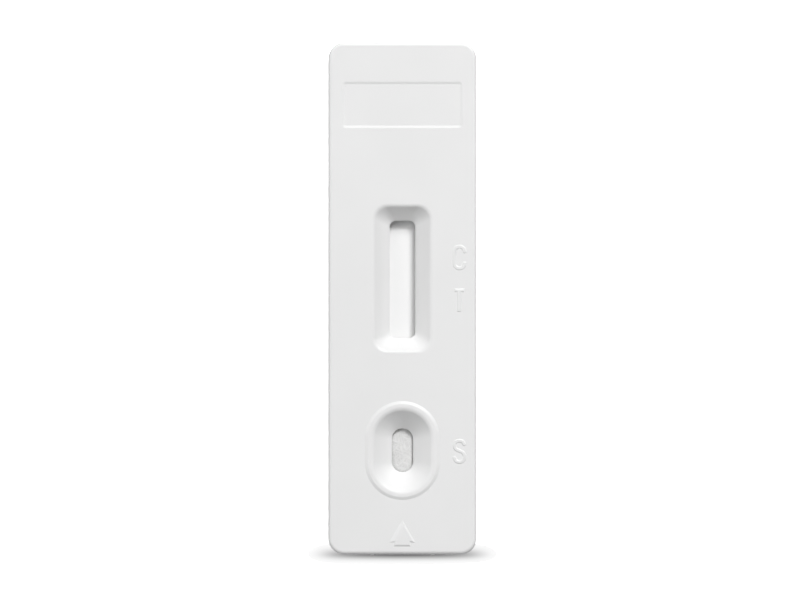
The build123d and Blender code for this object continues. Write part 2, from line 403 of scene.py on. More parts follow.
def stroke_depth(spots, path):
    """How far each spot lies inside a round-ended stroke along a path."""
    start, run = path[:-1], np.diff(path, axis=0)
    away = spots[:, None, :] - start
    along = np.clip(np.sum(away * run, axis=2) / np.sum(run * run, axis=1), 0.0, 1.0)
    return STROKE_HALF - np.linalg.norm(away - along[..., None] * run, axis=2).min(axis=1)


def block_depth(spots, corners, steepness=1.0):
    """How far each spot lies inside a convex shape: the least distance to its sides.

    A steepness below 1 shortens a side's distances, which makes its flank wider and gentler.
    """
    corners = np.array(corners, float)
    side = np.roll(corners, -1, axis=0) - corners
    normal = np.stack([-side[:, 1], side[:, 0]], 1) / np.linalg.norm(side, axis=1)[:, None]
    return (np.sum((spots[:, None, :] - corners) * normal, axis=2) * steepness).min(axis=1)


def letter_c(spots):
    """A tall narrow C: two arcs joined by a straight back."""
    radius, arc_y = 0.7, 0.79
    angle = np.radians(np.linspace(3, 180, ARC_STEPS))
    top = np.stack([radius * np.cos(angle), arc_y + radius * np.sin(angle)], 1)
    return stroke_depth(spots, np.vstack([top, top[::-1] * (1, -1)]))


def letter_t(spots):
    """A T of two bars."""
    bar = block_depth(spots, rectangle((-0.02, 1.34), 0.69, 0.25))
    stem = block_depth(spots, rectangle((-0.04, 0.0), 0.29, 1.59))
    return np.maximum(bar, stem)


def letter_s(spots):
    """An S drawn as one smooth stroke."""
    knots = [
        (0.66, 0.98), (0.45, 1.31), (0.0, 1.44), (-0.44, 1.31), (-0.66, 0.95),
        (-0.64, 0.57), (-0.42, 0.27), (0.0, 0.06), (0.45, -0.15), (0.68, -0.52),
        (0.69, -0.92), (0.46, -1.3), (0.0, -1.45), (-0.47, -1.3), (-0.69, -0.86),
    ]
    return stroke_depth(spots, smooth_path(knots))


def arrow(spots):
    """A triangle that points at the well, on a short shaft, its left side fading out."""
    steepness = np.array([1.0, 1.0, 0.45])
    head = block_depth(spots, [(-1.8, -1.22), (1.8, -1.22), (0.04, 1.86)], steepness)
    shaft = block_depth(spots, rectangle((0.0, -1.2), 1.14, 0.54))
    return np.maximum(head, shaft)


# Each mark's shape, centre, half size, height and width of flank
MARKS = (
    (letter_c, (7.78, 5.57), (0.97, 1.76), 0.065, 0.12),
    (letter_t, (7.79, -0.25), (0.73, 1.61), 0.085, 0.18),
    (letter_s, (7.77, -20.87), (0.96, 1.72), 0.08, 0.14),
    (arrow, (-0.03, -32.1), (1.82, 1.88), 0.12, 0.3),
)


def raised_mark(surface, shape, center, half, rise, flank):
    """A grid patch of the face whose height follows the mark.

    Height is the mark's rise times 1 - (1 - d)^2, where d is the depth inside the mark over
    the width of its flank, from 0 to 1. Returns the patch's edge, which the face is joined to.
    """
    reach = np.array(half) + MARK_MARGIN
    count = np.ceil(2 * reach / MARK_PITCH).astype(int) + 1
    xs, ys = (np.linspace(-r, r, n) for r, n in zip(reach, count))
    spots = np.stack(np.meshgrid(xs, ys), axis=-1).reshape(-1, 2)
    depth = np.clip(shape(spots) / flank, 0.0, 1.0)
    height = FACE + rise * (1.0 - (1.0 - depth) ** 2)
    grid = spots + center
    surface.put(np.column_stack([grid, height]), quads(len(ys), len(xs)))
    return grid_edge(grid.reshape(len(ys), len(xs), 2))


# Cover ----------------------------------------------------------------


def outer_plan(inset, radius=CORNER, stops=()):
    """The plan of the cassette moved inwards, its corner radius shrinking with it."""
    half_x, half_y = WIDTH / 2 - inset, LENGTH / 2 - inset
    return rounded_rectangle(half_x, half_y, radius - inset, 0.0, CORNER_STEPS, stops)


def inner_plan(inset, stops=()):
    """The plan moved inwards, with the corners that the inside has at the wall's thickness."""
    return outer_plan(inset, INNER_CORNER + WALL, stops)


def gate_columns():
    """Places along the near side where the gate stubs begin and end."""
    edges = (-GATE_HALF - GATE_EDGE, -GATE_HALF, 0.0, GATE_HALF, GATE_HALF + GATE_EDGE)
    return [gate + edge for gate in (-GATE_X, GATE_X) for edge in edges]


def gate_rows():
    """Inset and height of the side's rows where the gate stubs begin and end, and just outside."""
    low, high = GATE_LEVELS
    heights = (low - GATE_EDGE / 2, low, high, high + GATE_EDGE)
    return [(DRAFT * (height - PARTING), height) for height in heights]


def window_plan(offset, wall=0.0):
    """The window's outline: the slot grown by the offset.

    Its corners and its middle change up the slope. Under the face the funnel's wall is the same
    outline with its corners grown by the wall.
    """
    climb_share = (offset - wall) / WINDOW_SLOPE
    half_width = SLOT_HALF + offset
    half_length = SLOT_HALF_LENGTH + wall + (offset - wall) * WINDOW_END_SHARE
    radius = min(SLOT_CORNER + wall + climb_share * CORNER_GAIN, half_width)
    center = SLOT_Y + climb_share * (WINDOW_Y - SLOT_Y)
    return rounded_rectangle(half_width, half_length, radius, center, CORNER_STEPS)


def well_plan(offset):
    """The well's outline: a stadium whose length and middle change slightly up the funnel."""
    half = OPENING_HALF + offset
    half_length = OPENING_HALF_LENGTH + offset * MOUTH_GAIN
    center = OPENING_Y + offset / MOUTH_SLOPE * (WELL_Y - OPENING_Y)
    return rounded_rectangle(half, half_length, half, center, STADIUM_STEPS)


def rim_plan(inset):
    """The outline of the rim's outside, moved inwards."""
    half = RIM_HALF - inset
    return rounded_rectangle(half, RIM_HALF_LENGTH - inset, half, WELL_Y, STADIUM_STEPS)


def panel_plan(inset):
    """The label panel's outline, moved inwards."""
    half_x, half_y = PANEL_HALF - inset, PANEL_HALF_LENGTH - inset
    return rounded_rectangle(half_x, half_y, PANEL_CORNER - inset, PANEL_Y, PANEL_CORNER_STEPS)


def bar_plan(inset, y):
    """The outline of the bar at a place along the strip, moved inwards."""
    half_x, half_y = BAR_HALF - inset, BAR_HALF_THICK - inset
    return rounded_rectangle(half_x, half_y, BAR_CORNER - inset, y, BAR_CORNER_STEPS)


def cover_outside(surface):
    """Inside wall, step for the tongue, parting face, drafted side, gate stubs and upper edge.

    Returns the outlines of the ceiling and of the face.
    """
    stops = gate_columns()
    step_inset = WALL - TONGUE_WALL - STEP_GAP
    step_top = PARTING + TONGUE_HEIGHT + STEP_GAP
    inner = [(WALL, CEILING), (WALL, step_top), (step_inset, step_top), (step_inset, PARTING)]
    ceiling_edge, step_edge = sweep(surface, inner, lambda inset: inner_plan(inset, stops))
    join(surface, [level(step_edge, PARTING), level(outer_plan(BEVEL, stops=stops), PARTING)])
    top_inset = DRAFT * (FACE - PARTING)
    outer = rounded_profile(
        [
            (BEVEL, PARTING, 0),
            (0.0, PARTING + BEVEL, BEVEL_ROUND),
            (top_inset, FACE, TOP_ROUND),
            (top_inset + TOP_ROUND + SUPPORT, FACE, 0),
        ],
        BEND_STEPS,
    )
    below = outer[:, 1] < GATE_LEVELS[0]
    rows = [*outer[below], *gate_rows(), *outer[~below]]
    rings = np.stack([level(outer_plan(inset, stops=stops), height) for inset, height in rows])
    x, y, z = np.moveaxis(rings, -1, 0)
    beside = np.abs(np.abs(x) - GATE_X) < GATE_HALF + GATE_EDGE / 2
    between = (z > GATE_LEVELS[0] - SAME) & (z < GATE_LEVELS[1] + SAME)
    rings[..., 1] = np.where((y < 0.0) & beside & between, -LENGTH / 2 - GATE_STUB, y)
    join(surface, rings)
    return ceiling_edge, rings[-1, :, :2]


def funnel_wall(surface, plan, levels, slope, opening):
    """A funnel's wall under the plate and its level foot. Returns its outline in the ceiling."""
    low, high = levels
    root = FUNNEL_WALL + (CEILING - high) / slope
    wall = [(FUNNEL_WALL, low), (FUNNEL_WALL, high), (root, CEILING)]
    foot, ceiling_edge = sweep(surface, wall, plan)
    fill(surface, low, foot, opening, up=False)
    return ceiling_edge


def window(surface):
    """The window: soft upper edge, slope, crisp slot, and the wall under the plate.

    Returns its outlines in the face and in the ceiling.
    """
    low, high = SLOT_LEVELS
    profile = rounded_profile(
        [
            (WINDOW_SLOPE + WINDOW_BORDERS[0], FACE, 0),
            (WINDOW_SLOPE + WINDOW_BORDERS[1], FACE, 0),
            (WINDOW_SLOPE, FACE, WINDOW_ROUND),
            (WINDOW_SLOPE / 2, (FACE + high) / 2 - WINDOW_DISH, DISH_ROUND),
            (0.0, high, SLOT_ROUND),
            (0.0, low, SLOT_FOOT_ROUND),
            (SILL, low, 0),
        ],
        BEND_STEPS,
    )
    face_edge, opening = sweep(surface, profile, window_plan)
    plan = lambda offset: window_plan(offset, FUNNEL_WALL)
    slope = (FACE - high) / WINDOW_SLOPE
    return face_edge, funnel_wall(surface, plan, SLOT_LEVELS, slope, opening)


def well(surface):
    """The well: rim, rounded mouth, funnel, opening, and the wall under the plate.

    Returns its outlines in the face and in the ceiling.
    """
    low, high = WELL_LEVELS
    flank = rounded_profile(
        [
            (-RIM_BORDER, FACE, 0),
            (0.0, FACE, RIM_FOOT_ROUND),
            (RIM_FLANK, RIM_TOP, RIM_ROUND),
            (RIM_FLANK + RIM_CREST, RIM_TOP, 0),
        ],
        BEND_STEPS,
    )
    face_edge, crest_outside = sweep(surface, flank, rim_plan)
    funnel = rounded_profile(
        [
            (MOUTH_SLOPE + MOUTH_BORDER, RIM_TOP, 0),
            (MOUTH_SLOPE, RIM_TOP, MOUTH_ROUND),
            (0.0, high, OPENING_ROUND),
            (0.0, low, OPENING_FOOT_ROUND),
            (SILL, low, 0),
        ],
        FUNNEL_STEPS,
    )
    crest_inside, opening = sweep(surface, funnel, well_plan)
    fill(surface, RIM_TOP, crest_outside, crest_inside)
    slope = (RIM_TOP - high) / MOUTH_SLOPE
    return face_edge, funnel_wall(surface, well_plan, WELL_LEVELS, slope, opening)


def label_panel(surface):
    """The label panel with its sloped sides and bare floor. Returns its outline in the face."""
    low = FACE - PANEL_DEPTH
    profile = rounded_profile(
        [
            (-PANEL_BORDER, FACE, 0),
            (0.0, FACE, PANEL_ROUND),
            (PANEL_SLOPE, low, PANEL_ROUND),
            (PANEL_SLOPE + PANEL_BORDER, low, 0),
        ],
        PANEL_STEPS,
    )
    face_edge, floor_edge = sweep(surface, profile, panel_plan)
    fill(surface, low, floor_edge)
    return face_edge


def pins_and_bars(surface):
    """The pins with their collars, and the bars over the strip. Returns their roots' outlines."""
    pin = [
        (PIN_RADIUS - PIN_LEAD, PIN_TIP),
        (PIN_RADIUS, PIN_TIP + PIN_LEAD),
        (PIN_RADIUS, COLLAR_FOOT),
        (COLLAR_RADIUS - COLLAR_EDGE, COLLAR_FOOT),
        (COLLAR_RADIUS, COLLAR_FOOT + COLLAR_EDGE),
        (COLLAR_RADIUS, CEILING),
    ]
    roots = []
    for center in PINS:
        tip, root = sweep(surface, pin, lambda radius: circle(center, radius, PIN_SIDES))
        fill(surface, PIN_TIP, tip, up=False)
        roots.append(root)
    for y, low in BARS:
        bar = [(BAR_EDGE, low), (0.0, low + BAR_EDGE), (0.0, CEILING)]
        tip, root = sweep(surface, bar, lambda inset: bar_plan(inset, y))
        fill(surface, low, tip, up=False)
        roots.append(root)
    return roots


def cover(surface):
    """The upper moulding as one closed surface."""
    ceiling_edge, face_edge = cover_outside(surface)
    window_edge, window_root = window(surface)
    rim_edge, well_root = well(surface)
    panel_edge = label_panel(surface)
    marks = [raised_mark(surface, *mark) for mark in MARKS]
    fill(surface, FACE, face_edge, window_edge, rim_edge, panel_edge, *marks)
    roots = pins_and_bars(surface)
    fill(surface, CEILING, ceiling_edge, window_root, well_root, *roots, up=False)


# Base -----------------------------------------------------------------


def inner_shapes():
    """Rings and heights of the floor, ribs, spines, rails, stops, webs, bosses and sockets."""
    shapes = [(inner_plan(WALL), INNER_FLOOR)]
    for k in range(RIB_COUNT):
        y = (k - (RIB_COUNT - 1) / 2) * RIB_PITCH
        shapes.append((rectangle((0.0, y), CHANNEL_HALF, RIB_HALF_THICK), CARD_BOTTOM))
    for x in (-SPINE_X, SPINE_X):
        shapes.append((rectangle((x, 0.0), SPINE_HALF, CARD_ENDS[1]), CARD_BOTTOM))
    for x in (-RAIL_X, RAIL_X):
        for y in (-RAIL_PITCH, 0.0, RAIL_PITCH):
            shapes.append((rectangle((x, y), RAIL_HALF, RAIL_HALF_LENGTH), RAIL_TOP))
    for y in (-STOP_Y, STOP_Y):
        shapes.append((rectangle((0.0, y), STOP_HALF, RAIL_HALF), RAIL_TOP))
    for x, y in PINS:
        web_x = x + math.copysign(WEB_HALF, x)
        shapes.append((rectangle((web_x, y), WEB_HALF, WEB_HALF_THICK), PARTING))
    shapes += [(circle(center, BOSS_RADIUS, BOSS_SIDES), PARTING) for center in PINS]
    shapes += [(circle(center, SOCKET_RADIUS, SOCKET_SIDES), SOCKET_FLOOR) for center in PINS]
    return shapes


def base(surface):
    """The lower moulding as one closed surface: a drafted tray whose tongue enters the cover."""
    bottom_inset = DRAFT * PARTING
    outer = rounded_profile(
        [
            (bottom_inset + BOTTOM_ROUND + SUPPORT, 0.0, 0),
            (bottom_inset, 0.0, BOTTOM_ROUND),
            (0.0, PARTING - BEVEL, BEVEL_ROUND),
            (BEVEL, PARTING, 0),
        ],
        BEND_STEPS,
    )
    bottom, parting_edge = sweep(surface, outer, outer_plan)
    fill(surface, 0.0, bottom, up=False)
    inset, top = WALL - TONGUE_WALL, PARTING + TONGUE_HEIGHT
    join(surface, [level(parting_edge, PARTING), level(inner_plan(inset), PARTING)])
    tongue = [(inset, PARTING), (inset, top - TONGUE_EDGE), (inset + TONGUE_EDGE, top)]
    _, tongue_edge = sweep(surface, tongue, inner_plan)
    terraces(surface, tongue_edge, top, inner_shapes())


# Strip ----------------------------------------------------------------

# Pitch of each sheet's grid across and along the strip, the pitch along it where the sample pad
# shows in the opening, and how far the first two rows lie from a cut edge
CARD_GRID = (0.9, 5.0)
MEMBRANE_GRID = (0.1, 0.12)
CONJUGATE_GRID = (0.12, 0.12)
SAMPLE_GRID = (0.045, 0.25)
ABSORBENT_GRID = (0.16, 0.2)
SHOWN_PITCH, SHOWN_MARGIN = 0.045, 0.3
EDGE_STEP, EDGE_BAND = 0.06, 0.15

# Waves that make up a ripple, and what brings their sum to about -1 to 1
RIPPLE_WAVES, RIPPLE_SCALE = 60, 1.6

# Sample pad in the opening: how much it swells, how far and how wide the well's wall presses it,
# and how much it sinks towards the far end
SWELL = 0.1
PRESS, PRESS_WIDTH = 0.1, 0.12
SINK, SINK_POWER = 0.12, 0.3

# Its fibres: how uneven it is outside, how much more so inside, and how soon
UNEVEN, UNEVEN_MORE, UNEVEN_RISE = 0.012, 0.03, 4
FINE_SHARE, COARSE_SHARE = 0.6, 0.4

# How uneven the other sheets are
MEMBRANE_UNEVEN, CONJUGATE_UNEVEN, ABSORBENT_UNEVEN = 0.003, 0.008, 0.01


def slab(surface, xs, ys, top, bottom):
    """A closed slab: a height function above, one below, and a wall round the edge."""
    x, y = np.meshgrid(xs, ys)
    grid = quads(len(ys), len(xs))
    upper = np.stack([x, y, top(x, y)], -1)
    lower = np.stack([x, y, bottom(x, y)], -1)
    surface.put(upper.reshape(-1, 3), grid)
    surface.put(lower.reshape(-1, 3), grid[:, ::-1])
    join(surface, [grid_edge(lower), grid_edge(upper)])


def sheet(piece, solid, slot, material, ends, grid, top, bottom, knees=(), shown=None):
    """One sheet of the strip, made into its piece, which stands for its solid."""
    across, along = grid
    surface = Surface()
    slab(surface, sides(across), lengths(ends, along, knees, shown), top, bottom)
    surface.piece(piece, material, slot, solid)


def flat(height):
    """A height function that is the same everywhere."""
    return lambda x, y: np.full(x.shape, height)


def lapped(step, side, rise):
    """The height function of a lapped sheet's underside.

    It runs on the card, up a short ramp that ends at the step, and on the sheet below. side is
    1 where it rises towards +Y, and -1 where it rises towards -Y.
    """
    return lambda x, y: CARD_TOP + rise * np.clip(1.0 + side * (y - step) / RAMP, 0.0, 1.0)


conjugate_under = lapped(MEMBRANE_ENDS[0], 1, MEMBRANE_TOP - CARD_TOP)
sample_under = lapped(CONJUGATE_ENDS[0], 1, CONJUGATE_THICK)
absorbent_under = lapped(MEMBRANE_ENDS[1], -1, MEMBRANE_TOP - CARD_TOP)


def ripple(x, y, seed, short, long):
    """Fibre unevenness of about -1 to 1: many plane waves of seeded direction, length and phase."""
    random = np.random.default_rng(seed)
    angle = random.uniform(0.0, math.pi, RIPPLE_WAVES)
    number = 2 * math.pi / random.uniform(short, long, RIPPLE_WAVES)
    phase = random.uniform(0.0, 2 * math.pi, RIPPLE_WAVES)
    way = x[..., None] * np.cos(angle) + y[..., None] * np.sin(angle)
    return np.sum(np.sin(way * number + phase), axis=-1) / math.sqrt(RIPPLE_WAVES) / RIPPLE_SCALE


def edge_fall(x, y, ends, width=0.12, drop=0.05):
    """How much a cut edge is pressed down, fading inwards from the sheet's sides and ends."""
    inward = np.minimum(STRIP_HALF - np.abs(x), np.minimum(y - ends[0], ends[1] - y))
    return drop * (1.0 - np.clip(inward / width, 0.0, 1.0)) ** 2


def sides(pitch):
    """Places across the strip, closer together at its cut edges."""
    core_half, near_edge = STRIP_HALF - EDGE_BAND, STRIP_HALF - EDGE_STEP
    core = np.linspace(-core_half, core_half, int(2 * core_half / pitch) + 1)
    return np.concatenate([[-STRIP_HALF, -near_edge], core, [near_edge, STRIP_HALF]])


def lengths(ends, pitch, knees=(), shown=None):
    """Places along the strip at a pitch, a finer one where it is shown, and each bend's ends."""
    places = [*np.arange(*ends, pitch), ends[0] + EDGE_STEP, ends[1] - EDGE_STEP, ends[1], *knees]
    if shown:
        places = [place for place in places if not shown[0] < place < shown[1]]
        places += list(np.arange(*shown, SHOWN_PITCH))
    return np.unique(np.round(places, 4))


def membrane_top(x, y):
    """Nearly flat, with softly pressed edges."""
    fall = edge_fall(x, y, MEMBRANE_ENDS, width=0.1, drop=0.03)
    waves = MEMBRANE_UNEVEN * ripple(x, y, seed=3, short=0.5, long=2.5)
    return MEMBRANE_TOP - fall + waves - MEMBRANE_UNEVEN


def conjugate_top(x, y):
    """Even and fibrous."""
    fibres = CONJUGATE_UNEVEN * (ripple(x, y, seed=5, short=0.2, long=0.8) - 1)
    return conjugate_under(x, y) + CONJUGATE_THICK - edge_fall(x, y, CONJUGATE_ENDS) + fibres


def absorbent_top(x, y):
    """Even and more coarsely fibrous."""
    fibres = ABSORBENT_UNEVEN * (ripple(x, y, seed=9, short=0.3, long=1.2) - 1)
    return absorbent_under(x, y) + ABSORBENT_THICK - edge_fall(x, y, ABSORBENT_ENDS) + fibres


def sample_top(x, y):
    """Pressed under the well's wall, lower at the far end, swollen and fibrous in the opening."""
    across = np.abs(x) / OPENING_HALF
    straight = OPENING_HALF_LENGTH - OPENING_HALF
    along = np.maximum(np.abs(y - OPENING_Y) - straight, 0.0) / OPENING_HALF
    from_wall = 1.0 - np.hypot(across, along)
    open_part = np.clip(from_wall, 0.0, 1.0)
    swell = SWELL * (1.0 - (1.0 - open_part) ** 3)
    press = PRESS * np.exp(-((from_wall / PRESS_WIDTH) ** 2))
    far = np.clip((y - OPENING_Y) / OPENING_HALF_LENGTH, 0.0, 1.0)
    sink = SINK * open_part**SINK_POWER * far
    uneven = UNEVEN + UNEVEN_MORE * np.clip(open_part * UNEVEN_RISE, 0.0, 1.0)
    fine = ripple(x, y, seed=11, short=0.12, long=0.45)
    coarse = ripple(x, y, seed=12, short=0.5, long=1.6)
    fibres = uneven * (FINE_SHARE * fine + COARSE_SHARE * coarse - 1) / 2
    fall = edge_fall(x, y, SAMPLE_ENDS)
    return sample_under(x, y) + SAMPLE_THICK + swell - press - sink + fibres - fall


def strip(materials):
    """The five sheets of the test strip."""
    on_card = flat(CARD_TOP)
    sheet(
        "backing_card_sheet", "backing_card", "card", materials["card"],
        CARD_ENDS, CARD_GRID, on_card, flat(CARD_BOTTOM),
    )
    sheet(
        "membrane_sheet", "membrane", "membrane", materials["membrane"],
        MEMBRANE_ENDS, MEMBRANE_GRID, membrane_top, on_card,
    )
    step = MEMBRANE_ENDS[0]
    sheet(
        "conjugate_sheet", "conjugate_pad", "conjugate", materials["conjugate"],
        CONJUGATE_ENDS, CONJUGATE_GRID, conjugate_top, conjugate_under, (step - RAMP, step),
    )
    step = CONJUGATE_ENDS[0]
    reach = OPENING_HALF_LENGTH + SHOWN_MARGIN
    sheet(
        "sample_pad_sheet", "sample_pad", "pad", materials["sample"],
        SAMPLE_ENDS, SAMPLE_GRID, sample_top, sample_under, (step - RAMP, step),
        (WELL_Y - reach, WELL_Y + reach),
    )
    step = MEMBRANE_ENDS[1]
    sheet(
        "absorbent_sheet", "absorbent_pad", "pad", materials["absorbent"],
        ABSORBENT_ENDS, ABSORBENT_GRID, absorbent_top, absorbent_under, (step, step + RAMP),
    )


# Materials ------------------------------------------------------------

# Directions in which matted fibres lie, in radians
FIBRE_TURNS = (0.3, 1.35, 2.4)

# How high the fine grain and the slow flow stand against each other
GRAIN_SHARE, FLOW_SHARE = 0.25, 4.0

# Sockets of the Mix node that serve colours
MIX_FACTOR, MIX_FIRST, MIX_SECOND, MIX_RESULT = 0, 6, 7, 2


def feed(tree, socket, value):
    """Links a socket to another one's output, or sets its value."""
    if isinstance(value, bpy.types.NodeSocket):
        tree.links.new(value, socket)
    else:
        socket.default_value = value


def node(tree, kind, inputs=(), **settings):
    """Adds a shader node, sets its properties, and feeds its inputs by name or number."""
    made = tree.nodes.new(kind)
    for key, value in settings.items():
        setattr(made, key, value)
    for key, value in dict(inputs).items():
        feed(tree, made.inputs[key], value)
    return made


def noise(tree, vector, scale, detail):
    """Noise with a given number of waves to the metre."""
    inputs = {"Vector": vector, "Scale": scale, "Detail": detail}
    return node(tree, "ShaderNodeTexNoise", inputs).outputs["Fac"]


def math_node(tree, operation, *values):
    """One arithmetic step."""
    return node(tree, "ShaderNodeMath", dict(enumerate(values)), operation=operation).outputs[0]


def chain(tree, operation, *values):
    """The same step on each value in turn."""
    return functools.reduce(lambda total, value: math_node(tree, operation, total, value), values)


def spread(tree, value, low, high, to_low=0.0, to_high=1.0):
    """Maps a range onto another and stays within it."""
    inputs = {"Value": value, "From Min": low, "From Max": high}
    inputs |= {"To Min": to_low, "To Max": to_high}
    return node(tree, "ShaderNodeMapRange", inputs).outputs["Result"]


def mix_colors(tree, factor, first, second):
    """A blend of two colours of three values each."""
    inputs = {MIX_FACTOR: factor, MIX_FIRST: (*first, 1.0), MIX_SECOND: (*second, 1.0)}
    return node(tree, "ShaderNodeMix", inputs, data_type="RGBA").outputs[MIX_RESULT]


def place_on_object(tree):
    """The shaded point in the object's own coordinates, in metres."""
    return node(tree, "ShaderNodeTexCoord").outputs["Object"]


def group(name, inputs, outputs):
    """A shader node group with value inputs and outputs. Returns its tree and what it is given."""
    tree = bpy.data.node_groups.new(name, "ShaderNodeTree")
    for label, value in inputs.items():
        socket = tree.interface.new_socket(label, in_out="INPUT", socket_type="NodeSocketFloat")
        socket.default_value = value
    for label in outputs:
        tree.interface.new_socket(label, in_out="OUTPUT", socket_type="NodeSocketFloat")
    return tree, tree.nodes.new("NodeGroupInput").outputs


def moulded_grain():
    """Grain of a moulded face: fine spark-eroded texture, slow flow unevenness, faint cloud."""
    inputs = {"Grain per metre": 9000.0, "Flow per metre": 120.0}
    tree, given = group("moulded_grain", inputs, ("Height", "Cloud", "Speckle"))
    place = place_on_object(tree)
    fine = noise(tree, place, given["Grain per metre"], 2.0)
    flow = noise(tree, place, given["Flow per metre"], 1.0)
    fine_height = math_node(tree, "MULTIPLY", fine, GRAIN_SHARE)
    flow_height = math_node(tree, "MULTIPLY", flow, FLOW_SHARE)
    results = {
        "Height": math_node(tree, "ADD", fine_height, flow_height),
        "Cloud": spread(tree, flow, 0.3, 0.7),
        "Speckle": spread(tree, fine, 0.3, 0.7),
    }
    node(tree, "NodeGroupOutput", results)
    return tree


def fibre_mat():
    """Matted fibres: noise stretched along three directions, the highest of which lies on top."""
    inputs = {"Fibres per metre": 7000.0, "Stretch": 8.0}
    tree, given = group("fibre_mat", inputs, ("Height", "Tone"))
    place = place_on_object(tree)
    along = math_node(tree, "DIVIDE", 1.0, given["Stretch"])
    squeeze = node(tree, "ShaderNodeCombineXYZ", {0: along, 1: 1.0, 2: 1.0}).outputs[0]
    layers = []
    for turn in FIBRE_TURNS:
        rotation = {"Vector": place, "Rotation": (0.0, 0.0, turn)}
        turned = node(tree, "ShaderNodeMapping", rotation).outputs[0]
        factors = {0: turned, 1: squeeze}
        drawn = node(tree, "ShaderNodeVectorMath", factors, operation="MULTIPLY").outputs[0]
        layers.append(noise(tree, drawn, given["Fibres per metre"], 2.0))
    top = chain(tree, "MAXIMUM", *layers)
    node(tree, "NodeGroupOutput", {"Height": top, "Tone": spread(tree, top, 0.45, 0.75)})
    return tree


def finish(name, effect, tone, values, light, dark, bump, roughness, uneven=0.0):
    """A Principled material: a group blends its two tones, raises its grain and unevens its gloss.

    bump is in metres, and uneven is how far the roughness goes up and down with the tone.
    """
    material = bpy.data.materials.new(name)
    material.use_nodes = True
    tree = material.node_tree
    made = node(tree, "ShaderNodeGroup", node_tree=effect)
    for key, value in values.items():
        made.inputs[key].default_value = value
    tones = made.outputs[tone]
    relief = {"Height": made.outputs["Height"], "Distance": bump, "Strength": 1.0}
    gloss = roughness
    if uneven:
        gloss = spread(tree, tones, 0.0, 1.0, roughness - uneven, roughness + uneven)
    inputs = {
        "Base Color": mix_colors(tree, tones, dark, light),
        "Normal": node(tree, "ShaderNodeBump", relief).outputs[0],
        "Roughness": gloss,
    }
    shader = tree.nodes["Principled BSDF"]
    for key, value in inputs.items():
        feed(tree, shader.inputs[key], value)
    return material


def make_materials():
    """Every finish of the cassette."""
    grain, fibres = moulded_grain(), fibre_mat()
    moulded = {"Grain per metre": 9000.0, "Flow per metre": 120.0}
    cast = {"Grain per metre": 14000.0, "Flow per metre": 300.0}
    glass = {"Fibres per metre": 7000.0, "Stretch": 8.0}
    fleece = {"Fibres per metre": 5000.0, "Stretch": 7.0}
    cotton = {"Fibres per metre": 4000.0, "Stretch": 5.0}
    return {
        "housing": finish(
            "white_styrene", grain, "Cloud", moulded, light=(0.805, 0.806, 0.805),
            dark=(0.79, 0.791, 0.79), bump=0.000004, roughness=0.42, uneven=0.03,
        ),
        "card": finish(
            "card_stock", grain, "Speckle", moulded, light=(0.86, 0.86, 0.86),
            dark=(0.84, 0.84, 0.84), bump=0.000004, roughness=0.5,
        ),
        "membrane": finish(
            "nitrocellulose", grain, "Speckle", cast, light=(0.89, 0.891, 0.889),
            dark=(0.875, 0.875, 0.873), bump=0.000006, roughness=0.9,
        ),
        "conjugate": finish(
            "glass_fibre", fibres, "Tone", glass, light=(0.84, 0.82, 0.79),
            dark=(0.74, 0.72, 0.69), bump=0.00002, roughness=0.95,
        ),
        "sample": finish(
            "sample_fleece", fibres, "Tone", fleece, light=(0.75, 0.75, 0.745),
            dark=(0.62, 0.62, 0.615), bump=0.00003, roughness=0.95,
        ),
        "absorbent": finish(
            "cotton_board", fibres, "Tone", cotton, light=(0.86, 0.86, 0.86),
            dark=(0.78, 0.78, 0.78), bump=0.00002, roughness=0.95,
        ),
    }


# Floor, light and camera ----------------------------------------------

# Floor: its reach and its drop below the cassette, in metres, and its tone for bounced light,
# for the camera, which sees white where it is lit, and in a reflection
FLOOR_REACH, FLOOR_DROP = 2.0, 0.00001
BOUNCE_TONE, CAMERA_TONE, MIRROR_TONE = 0.85, 3.4, 0.55

# Painted contact shadow under the near end, a lens of shade drawn in the floor's colour: its middle
# and depth, its reach along the end and where it stops, its breadth outwards and inwards, the
# powers, and the shade at which it takes over
SHADE_Y, SHADE_DEPTH = -35.13, 0.84
SHADE_REACH, SHADE_END = 16.46, 11.22
SHADE_OUTWARDS, SHADE_INWARDS = 0.63, 0.8
REACH_POWER, END_POWER, BREADTH_POWER = 2.0, 8.0, 1.9
SHADE_FROM, SHADE_FULL = 0.004, 0.02

# Even light from all round, and each distant lamp's name, azimuth, elevation, strength and
# breadth. Angles are degrees, and an azimuth runs from +Y towards +X, as on a compass.
AMBIENT = 0.02
SUNS = (
    ("high", 10.0, 58.0, 0.19, 30.0),
    ("above", 0.0, 89.0, 0.1, 50.0),
    ("left", -90.0, 42.0, 0.15, 35.0),
    ("left low", -90.0, 12.0, 0.13, 24.0),
    ("near end", 180.0, 25.0, 0.07, 35.0),
    ("below", 0.0, -90.0, 0.42, 50.0),
)

# Camera: its place over the cassette, and in metres its height and the width of face it sees
CAMERA_X, CAMERA_Y = -0.33, -0.02
CAMERA_HEIGHT, FIELD = 0.9, 0.10914


def ray_kinds(tree):
    """Whether a ray is seen in a mirror or a lens, is seen at all, or is cast at a lamp."""
    ray = node(tree, "ShaderNodeLightPath").outputs
    mirrored = math_node(tree, "MAXIMUM", ray["Is Glossy Ray"], ray["Is Transmission Ray"])
    seen = math_node(tree, "MAXIMUM", ray["Is Camera Ray"], mirrored)
    return mirrored, seen, ray["Is Shadow Ray"]


